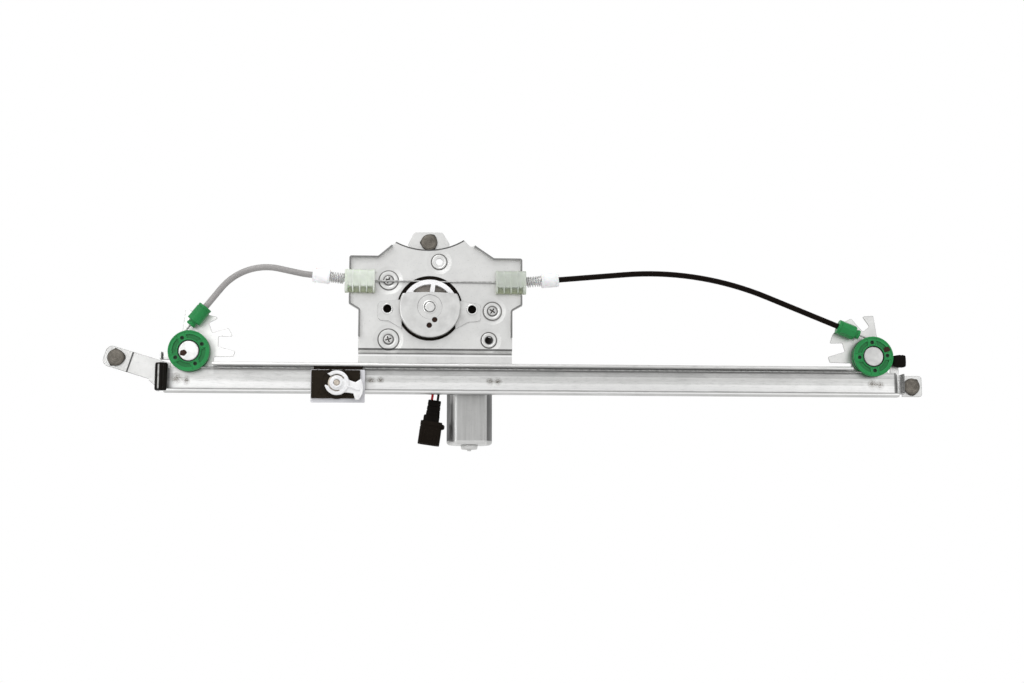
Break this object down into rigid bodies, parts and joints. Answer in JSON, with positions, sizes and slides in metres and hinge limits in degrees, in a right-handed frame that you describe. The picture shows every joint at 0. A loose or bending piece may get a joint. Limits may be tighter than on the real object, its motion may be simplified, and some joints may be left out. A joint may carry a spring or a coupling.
{
  "type": "window regulator",
  "caption": "Cable window regulator: guide rail with a sliding glass carriage, motor plate with a covered cable drum, worm gear motor, two pulleys and two conduits.",
  "frame": {"origin": "axis of the upper weld stud at the rear face of its tab, on the plane of the door panel", "axes": "+X along the guide rail towards its long end, +Y along the studs towards the door panel and the motor, +Z from the rail towards the motor plate"},
  "size_m": [0.7399, 0.0584, 0.1978],
  "materials": {
    "zinc_rail": "zinc plated, drawn",
    "zinc_plate": "zinc plated, pressed",
    "zinc_bracket": "zinc plated, stamped",
    "stud_steel": "bare weld stud",
    "spring_steel": "bare",
    "cable_steel": "stranded, greased",
    "shaft_steel": "ground",
    "magnet": "dull",
    "copper": "bare",
    "bearing_bronze": "sintered",
    "die_cast": "cast",
    "green_plastic": "moulded",
    "white_plastic": "moulded",
    "pale_green_plastic": "natural, translucent",
    "black_plastic": "moulded",
    "carriage_plastic": "moulded",
    "grey_sheath": "extruded",
    "black_sheath": "extruded",
    "red_sheath": "extruded",
    "black_rubber": "moulded",
    "motor_paint": "zinc plated, drawn can"
  },
  "bodies": {
    "frame": {"guide_rail": "zinc_rail", "motor_plate": "zinc_plate", "upper_stud": "stud_steel", "left_stud": "stud_steel", "right_stud": "stud_steel", "left_end_bracket": "zinc_bracket", "right_end_bracket": "zinc_bracket", "left_buffer": "black_rubber", "right_buffer": "black_rubber", "left_pulley_bracket": "zinc_bracket", "right_pulley_bracket": "zinc_bracket", "left_pulley_axle": "shaft_steel", "right_pulley_axle": "shaft_steel", "left_ferrule": "green_plastic", "right_ferrule": "green_plastic", "left_conduit": "grey_sheath", "right_conduit": "black_sheath", "left_spring": "spring_steel", "right_spring": "spring_steel", "left_cable_holder": "pale_green_plastic", "right_cable_holder": "pale_green_plastic", "lift_cable": "cable_steel", "drum_cover": "zinc_plate", "cover_rivets": "shaft_steel", "motor_screws": "shaft_steel", "gear_housing": "black_plastic", "gear_cover": "die_cast", "motor_can": "motor_paint", "magnets": "magnet", "brush_card": "black_plastic", "lower_bearing": "bearing_bronze", "upper_bearing": "bearing_bronze", "red_wire": "red_sheath", "black_wire": "black_sheath", "wire_boot": "black_rubber", "connector": "black_plastic"},
    "carriage": {"carriage_shoe": "black_plastic", "cable_nipple": "die_cast", "carriage_base": "carriage_plastic", "carriage_pad": "black_rubber", "carriage_pin": "shaft_steel"},
    "clip": {"glass_clip": "white_plastic"},
    "drum": {"cable_drum": "white_plastic", "output_shaft": "shaft_steel", "worm_wheel": "white_plastic"},
    "left_wheel": {"left_pulley": "green_plastic"},
    "right_wheel": {"right_pulley": "green_plastic"},
    "rotor": {"motor_shaft": "shaft_steel", "armature": "copper", "commutator": "copper"},
    "left_sliding_sleeve": {"left_sleeve": "white_plastic"},
    "right_sliding_sleeve": {"right_sleeve": "white_plastic"}
  },
  "joints": [
    {"name": "motor_spin", "type": "hinge", "parent": "frame", "child": "rotor", "pos_m": [0.0378, 0.015, -0.12], "axis": [0, 0, 1], "range_deg": [-12580, 64380]},
    {"name": "carriage_slide", "type": "slide", "parent": "frame", "child": "carriage", "axis": [1, 0, 0], "range_m": [-0.085, 0.435]},
    {"name": "drum_spin", "type": "hinge", "parent": "frame", "child": "drum", "pos_m": [0.001, 0, -0.0615], "axis": [0, 1, 0], "range_deg": [-1039, 203.5]},
    {"name": "left_pulley_spin", "type": "hinge", "parent": "frame", "child": "left_wheel", "pos_m": [-0.2112, -0.01, -0.1025], "axis": [0, 1, 0], "range_deg": [-1768, 346]},
    {"name": "right_pulley_spin", "type": "hinge", "parent": "frame", "child": "right_wheel", "pos_m": [0.4043, -0.01, -0.1025], "axis": [0, 1, 0], "range_deg": [-1768, 346]},
    {"name": "clip_turn", "type": "hinge", "parent": "carriage", "child": "clip", "pos_m": [-0.0801, -0.022, -0.1312], "axis": [0, 1, 0], "range_deg": [-60, 20]},
    {"name": "left_sleeve_slide", "type": "slide", "parent": "frame", "child": "left_sliding_sleeve", "axis": [0.9942, 0, -0.108], "range_m": [0, 0.0035], "stiffness_N_per_m": 2500, "springref_m": -0.004, "deforming": ["left_spring"]},
    {"name": "right_sleeve_slide", "type": "slide", "parent": "frame", "child": "right_sliding_sleeve", "axis": [-0.9959, 0, -0.0906], "range_m": [0, 0.0035], "stiffness_N_per_m": 2500, "springref_m": -0.004, "deforming": ["right_spring"]}
  ],
  "couplings": [
    {"joint": "carriage_slide", "follows": "motor_spin", "m_per_rad": 0.0003871},
    {"joint": "drum_spin", "follows": "motor_spin", "ratio": -0.016129},
    {"joint": "left_pulley_spin", "follows": "motor_spin", "ratio": -0.027454},
    {"joint": "right_pulley_spin", "follows": "motor_spin", "ratio": -0.027454}
  ]
}
